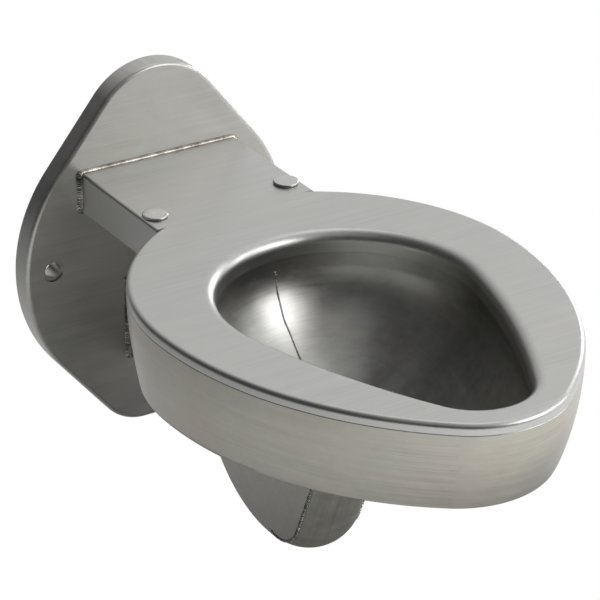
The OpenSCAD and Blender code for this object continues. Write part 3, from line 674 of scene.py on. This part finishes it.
def buttBead(name, half, low, high, cornerR, gapHalf, gapAbove, topGround, seed):
    # Fillet between the flange's face and a box that butts on it, rippled, with a gap at its middle
    r = cornerR
    circles = [(half - r, low + r, r), (half - r, high - r, r),
               (-half + r, high - r, r), (-half + r, low + r, r)]
    base = outline(circles, [8, 8, 8, 8])
    centre = np.array([0.0, (low + high) / 2])
    loop = np.concatenate([base, base[:1]])
    path, at = spaced(np.column_stack([loop, np.zeros(len(loop))]), weld["pitch"] / 8)
    path = path[:, :2]
    inGap = (np.abs(path[:, 0]) < gapHalf) & ((path[:, 1] > centre[1]) == gapAbove)
    start = int(np.argmax(inGap & ~np.roll(inGap, -1))) + 1
    path = np.roll(path, -start, axis=0)[: int((~inGap).sum())]
    normal = np.gradient(path, axis=0)
    normal = np.stack([normal[:, 1], -normal[:, 0]], 1)
    normal /= np.linalg.norm(normal, axis=1)[:, None]
    at = at[: len(path)]
    turn = np.linspace(0, math.pi / 2, weld["points"])
    phase = (at[:, None] + uneven(at, seed, 1.0)[:, None]) / weld["pitch"] + 0.3 * np.sin(2 * turn)
    ground = np.clip(normal[:, 1:] * 1.5 - 0.4, 0, 1) * topGround  # dressed smooth along the top
    ripple = weld["ripple"] * (1 - 0.85 * ground)
    swell = 1 - ripple * np.sin(2 * turn) * (phase % 1.0) ** 2 + uneven(at, seed + 1, 0.08)[:, None]
    bulge = 0.86 * weld["bead"] * np.minimum(swell, 1.0) * (1 - 0.4 * ground)
    out, off = bulge * np.cos(turn) ** 1.2, bulge * np.sin(turn) ** 1.2
    skin = np.stack([path[:, :1] + normal[:, :1] * out, -panDepth - off,
                     path[:, 1:] + normal[:, 1:] * out], -1)
    root = np.stack([path[:, 0], np.full(len(path), -panDepth), path[:, 1]], -1)[:, None]
    return objectOf(gridMesh(name, np.concatenate([skin, root], 1), loopColumns=True, caps=True))


def makeSeam():
    # Thin bead down the middle of the bowl's rear wall
    depths = np.linspace(0, 1, 120)
    rear = mouth["steps"][0] // 2 + sum(mouth["steps"]) // 2
    path = np.array([bowlRing(0, d)[rear] for d in depths])
    path[:, 0] += 0.5 * np.sin(path[:, 2] / 9.0) + 0.3 * np.sin(path[:, 2] / 3.7)
    seam = roundBead("bowlSeam", path, weld["seamR"], 11)
    return finish(seam, beadSteel, ["bowl_seam_weld"])


def legPoint(local):
    # From the leaning leg's own axes, about the ball's centre, to the seat's
    local = np.atleast_2d(local)
    y = local[:, 1] * math.cos(lean) - local[:, 2] * math.sin(lean)
    z = local[:, 1] * math.sin(lean) + local[:, 2] * math.cos(lean)
    return np.stack([local[:, 0], y - leg["ballY"], z + ballZ], 1)


def makeTrapWelds():
    # Beads round the two flat sides, down the leg's front and round under the ball
    half = ductHigh[0]
    flatR = math.sqrt(leg["outerR"] ** 2 - half ** 2)
    turn = np.radians(np.linspace(0, weld["turn"], 60))
    beads = []
    for i, x in enumerate((half - weld["trapInset"], weld["trapInset"] - half)):
        down = np.stack([np.full(20, x), np.full(20, -flatR), np.linspace(leg["flatLength"] - 2, 0, 20)], 1)
        under = np.stack([np.full(60, x), -flatR * np.cos(turn), -flatR * np.sin(turn)], 1)
        path = legPoint(np.concatenate([down[:-1], under]))
        beads.append(roundBead("trapWeld", path, weld["trapR"], 21 + i, np.array([1.0, 0, 0])))
    return finish(joined("trapWeld", beads), beadSteel, ["trap_weld"])


def makeButtWelds():
    skip = ductHigh[0] + weld["bead"]
    armBead = buttBead("armWeld", armHalf, armLow[2], 0.0, arm["edgeR"], skip, False, 1, 31)
    finish(armBead, beadSteel, ["arm_weld"])
    ductBead = buttBead("ductWeld", ductHigh[0], ductLow[2], ductHigh[2], 1.0, skip, True, 0, 41)
    finish(ductBead, beadSteel, ["duct_weld"])


trapway = {"levelLength": 15, "floorDrop": 36.5, "floorR": 118, "height": 70, "rise": 45, "steps": 40}


def trapwayStrip():
    # Side view of the trapway between its roof and its floor, in Y and Z
    rise = math.radians(trapway["rise"])
    bendY = -leg["ballY"] + trapway["levelLength"]
    bendZ = ballZ - trapway["floorDrop"] + trapway["floorR"]
    angle = np.linspace(0, rise, trapway["steps"])

    def line(r):
        entry = bendZ - r / math.cos(rise) + (ductLow[1] - bendY) * math.tan(rise)
        arc = np.stack([bendY + r * np.sin(angle), bendZ - r * np.cos(angle)], 1)
        return np.concatenate([[[-leg["ballY"], bendZ - r]], arc, [[ductLow[1], entry]]])

    return np.concatenate([line(trapway["floorR"]), line(trapway["floorR"] - trapway["height"])[::-1]])


def makeBoot():
    # Leg and half ball turned about the leg's axis, with its sides and the trapway cut away
    steps = 160
    outer, inner = leg["outerR"], leg["outerR"] - leg["wall"]
    arc = np.linspace(0, math.pi / 2, 40)
    tall = np.linspace(leg["length"], 0, 12)[:-1]
    outside = np.concatenate([[[outer, z] for z in tall],
                              np.stack([outer * np.cos(arc), -outer * np.sin(arc)], 1)])
    insideArc = np.stack([inner * np.cos(arc), -inner * np.sin(arc)], 1)[::-1]
    inside = np.concatenate([insideArc, [[inner, z] for z in tall[::-1]]])
    outside[-1, 0] = inside[0, 0] = 0.02  # pinholes at the pole, 0.02 mm off the axis
    profile = np.concatenate([outside, inside])
    angle = np.linspace(0, 2 * math.pi, steps, endpoint=False)
    grid = np.stack([profile[:, 0][:, None] * np.cos(angle), profile[:, 0][:, None] * np.sin(angle),
                     np.repeat(profile[:, 1][:, None], steps, 1)], -1)
    grid = legPoint(grid.reshape(-1, 3)).reshape(grid.shape)
    boot = objectOf(gridMesh("trapBoot", grid, loopRows=True, loopColumns=True))
    side = ductHigh[0] - seat["sheet"]
    long = leg["flatLength"]
    box = legPoint([[0, y, z] for y, z in ((-60, -60), (60, -60), (60, long), (-60, long))])
    cut(boot, prismCutter(box[:, 1:], side, 60), prismCutter(box[:, 1:], -60, -side),
        prismCutter(trapwayStrip(), -60, 60))
    return finish(boot, trapPaintedLightSteel, ["trap_boot"])


plug = {"r": 12, "height": 3.2, "rim": 1.1, "shoulder": 1.3, "shankR": 5, "shank": 14}


def makePlugs():
    # Turned head with a soft shoulder and a slight crown, on a plain shank
    turn = np.linspace(0, math.pi / 2, 8)
    shoulder = np.stack([plug["r"] - plug["shoulder"] * (1 - np.cos(turn)),
                         plug["height"] - 0.5 - plug["shoulder"] * (1 - np.sin(turn))], 1)
    top = np.linspace(plug["r"] - plug["shoulder"] - 0.4, 0.02, 10)
    crown = np.stack([top, plug["height"] - 0.5 * (top / plug["r"]) ** 2], 1)
    profile = np.concatenate([[[0.02, -plug["shank"]], [plug["shankR"] - 0.6, -plug["shank"]],
                               [plug["shankR"], -plug["shank"] + 0.6], [plug["shankR"], 0.02],
                               [plug["r"] - 0.5, 0.02], [plug["r"], 0.5]], shoulder, crown])
    angle = np.linspace(0, 2 * math.pi, 72, endpoint=False)
    made = []
    for x in (arm["plugSpan"] / 2, -arm["plugSpan"] / 2):
        grid = np.stack([x + profile[:, :1] * np.cos(angle), -arm["plugY"] + profile[:, :1] * np.sin(angle),
                         np.repeat(profile[:, 1:], len(angle), 1)], -1)
        made.append(objectOf(gridMesh("hingePlugs", grid, loopColumns=True, caps=True)))
    return finish(joined("hingePlugs", made), plugSteel, ["hinge_plugs"], sharpAngle=50)


makeSeatDeck()
makeSkirt()
print("seat deck and skirt made")
makeWallFlange()
makeArm()
makeDuct()
print("flange, arm and duct made")
makeBowl()
makeSeam()
makeBoot()
makeTrapWelds()
makeButtWelds()
makePlugs()
print("bowl, trap, welds and plugs made")

carried = {"bolt_spacers": tubeSteel, "outlet_plate": millSteel, "waste_spigot": tubeSteel,
           "duct_front": ductSteel, "arm_floor": millSteel, "flush_rim": millSteel,
           "flush_pipe": tubeSteel, "flush_tail": tubeSteel, "flush_collar": tubeSteel,
           "trap_sides": sideSteel, "trap_floor": sideSteel, "trap_roof": sideSteel,
           "hinge_washers": plugSteel, "hinge_nuts": plugSteel}
for node, material in carried.items():
    data = frame["nodes"][node].data
    data.materials.clear()
    data.materials.append(material)


studio = {
    "floorZ": -0.305,  # the bowl hangs with its seat 400 mm above the floor
    "floorHalf": 8.0,
    # painted light and shade that the metal sees on the floor: its level at the middle, and the change per
    # metre of X and of Y
    "floorShade": (0.9, 0.3, -0.45),
    "floorRange": (0.4, 1.45),
    # the painted shadow that it sees below the bowl: its middle, its edge's two radii and its level
    "poolPlace": (0.06, -0.33),
    "poolReach": (0.2, 0.6),
    "poolShade": 0.17,
    # what it sees of the room: the levels at its dark left and its light right, and the slope between
    "roomRange": (0.09, 1.0),
    "roomLean": (0.9, 0.3, 0.55),
    "roomTurn": (0.0, 0.8),
    "lights": [
        # name, place, size, strength per square metre
        ("overhead", (0.7, 0.2, 2.5), (1.4, 1.0), 0.8),
        ("right", (2.2, 0.8, 0.6), (0.9, 0.9), 5.0),
        ("rightFront", (2.2, -0.95, 1.05), (0.35, 1.0), 6.0),
        ("left", (-0.9, -1.7, 2.2), (1.6, 1.0), 0.35),
        ("front", (1.25, -2.0, 1.25), (1.3, 1.1), 4.6),
    ],
    "aim": (0.0, -0.3, 0.0),
}
camera = {"azimuth": -32.93, "elevation": 27.08, "roll": 0.94, "focal": 2921.5, "distance": 2.6274,
          "shiftX": -24.95, "shiftY": -12.39, "target": (0.0, -0.2316, 0.0442), "frame": 600}


def lightPathMask(tree):
    # Two masks: rays seen straight or through glass, and rays seen in a gloss
    path = tree.nodes.new("ShaderNodeLightPath")
    shown = math2(tree, "MAXIMUM", path.outputs["Is Camera Ray"], path.outputs["Is Transmission Ray"])
    return shown, path.outputs["Is Glossy Ray"]


def makeFloor():
    half = studio["floorHalf"]
    mesh = bpy.data.meshes.new("floor")
    corners = [(-half, -half, 0), (half, -half, 0), (half, half, 0), (-half, half, 0)]
    mesh.from_pydata(corners, [], [(0, 1, 2, 3)])
    mesh.transform(Matrix.Translation((0, 0, studio["floorZ"])))
    floor = objectOf(mesh)
    material = bpy.data.materials.new("floorPaleAndPaintedShade")
    material.use_nodes = True
    tree = material.node_tree
    out = tree.nodes["Material Output"]
    plain = tree.nodes["Principled BSDF"]
    plain.inputs["Base Color"].default_value = (0.8, 0.8, 0.8, 1)
    plain.inputs["Roughness"].default_value = 0.9
    white = tree.nodes.new("ShaderNodeEmission")
    # glossy rays see a glow of painted light and shade: a slope across the floor and a painted shadow below
    # the bowl
    shade = tree.nodes.new("ShaderNodeEmission")
    place = tree.nodes.new("ShaderNodeTexCoord")
    dot = tree.nodes.new("ShaderNodeVectorMath")
    dot.operation = "DOT_PRODUCT"
    tree.links.new(place.outputs["Object"], dot.inputs[0])
    level, dot.inputs[1].default_value = studio["floorShade"][0], (*studio["floorShade"][1:], 0)
    level = math2(tree, "ADD", dot.outputs["Value"], level)
    least, most = studio["floorRange"]
    level = math2(tree, "MINIMUM", math2(tree, "MAXIMUM", level, least), most)
    # painted shadow below the bowl, a dark pool in the glow
    away = tree.nodes.new("ShaderNodeVectorMath")
    away.operation = "DISTANCE"
    tree.links.new(place.outputs["Object"], away.inputs[0])
    away.inputs[1].default_value = (*studio["poolPlace"], studio["floorZ"])
    pool = remap(tree, away.outputs["Value"], *studio["poolReach"], studio["poolShade"], 1.0)
    level = math2(tree, "MULTIPLY", level, pool)
    tree.links.new(level, shade.inputs["Strength"])
    shown, glossy = lightPathMask(tree)
    first = tree.nodes.new("ShaderNodeMixShader")
    tree.links.new(glossy, first.inputs["Fac"])
    tree.links.new(plain.outputs["BSDF"], first.inputs[1])
    tree.links.new(shade.outputs["Emission"], first.inputs[2])
    second = tree.nodes.new("ShaderNodeMixShader")
    tree.links.new(shown, second.inputs["Fac"])
    tree.links.new(first.outputs["Shader"], second.inputs[1])
    tree.links.new(white.outputs["Emission"], second.inputs[2])
    tree.links.new(second.outputs["Shader"], out.inputs["Surface"])
    mesh.materials.append(material)


def makeWorld():
    # Soft surroundings, lighter above and on the right, and plain white behind the object
    world = bpy.data.worlds.new("studio")
    bpy.context.scene.world = world
    world.use_nodes = True
    tree = world.node_tree
    background = tree.nodes["Background"]
    place = tree.nodes.new("ShaderNodeTexCoord")
    dot = tree.nodes.new("ShaderNodeVectorMath")
    dot.operation = "DOT_PRODUCT"
    tree.links.new(place.outputs["Generated"], dot.inputs[0])
    dot.inputs[1].default_value = studio["roomLean"]
    level = remap(tree, dot.outputs["Value"], *studio["roomTurn"], *studio["roomRange"])
    path = tree.nodes.new("ShaderNodeLightPath")
    mix = tree.nodes.new("ShaderNodeMix")
    mix.data_type = "FLOAT"
    tree.links.new(path.outputs["Is Camera Ray"], mix.inputs["Factor"])
    tree.links.new(level, mix.inputs["A"])
    mix.inputs["B"].default_value = 1.0
    tree.links.new(mix.outputs["Result"], background.inputs["Strength"])
    background.inputs["Color"].default_value = (1, 1, 1, 1)


def makeLights():
    # Soft boxes that face the object. Power is strength times pi times area
    for name, place, size, strength in studio["lights"]:
        light = bpy.data.lights.new(name, "AREA")
        light.shape = "RECTANGLE"
        light.size, light.size_y = size
        light.energy = strength * math.pi * size[0] * size[1]
        obj = bpy.data.objects.new(name, light)
        bpy.context.scene.collection.objects.link(obj)
        toward = (np.array(studio["aim"]) - place)
        toward /= np.linalg.norm(toward)
        side = np.cross(toward, [0, 0, 1.0])
        if np.linalg.norm(side) < 0.05:
            side = np.array([1.0, 0, 0])
        side /= np.linalg.norm(side)
        up = np.cross(side, toward)
        obj.matrix_world = Matrix(np.column_stack([side, up, -toward]).tolist()).to_4x4()
        obj.location = place


def makeCamera():
    # A long lens on the fitted line of sight
    azimuth, elevation, roll = (math.radians(camera[k]) for k in ("azimuth", "elevation", "roll"))
    back = np.array([math.sin(azimuth) * math.cos(elevation), -math.cos(azimuth) * math.cos(elevation),
                     math.sin(elevation)])
    right = np.cross(-back, [0, 0, 1.0])
    right /= np.linalg.norm(right)
    up = np.cross(back, right)
    rolledRight = right * math.cos(roll) + up * math.sin(roll)
    rolledUp = up * math.cos(roll) - right * math.sin(roll)
    d, f = camera["distance"], camera["focal"]
    offset = np.array([camera["shiftX"] / f * d, -camera["shiftY"] / f * d, d])
    place = np.array(camera["target"]) - offset @ np.stack([rolledRight, rolledUp, -back])
    data = bpy.data.cameras.new("camera")
    data.sensor_width = 36
    data.lens = 36 * f / camera["frame"]
    obj = bpy.data.objects.new("camera", data)
    bpy.context.scene.collection.objects.link(obj)
    turn = Matrix(np.column_stack([rolledRight, rolledUp, back]).tolist()).to_4x4()
    obj.matrix_world = Matrix.Translation(place.tolist()) @ turn
    bpy.context.scene.camera = obj


makeFloor()
makeWorld()
makeLights()
makeCamera()
bpy.context.scene.view_settings.view_transform = "Standard"
print("studio made")
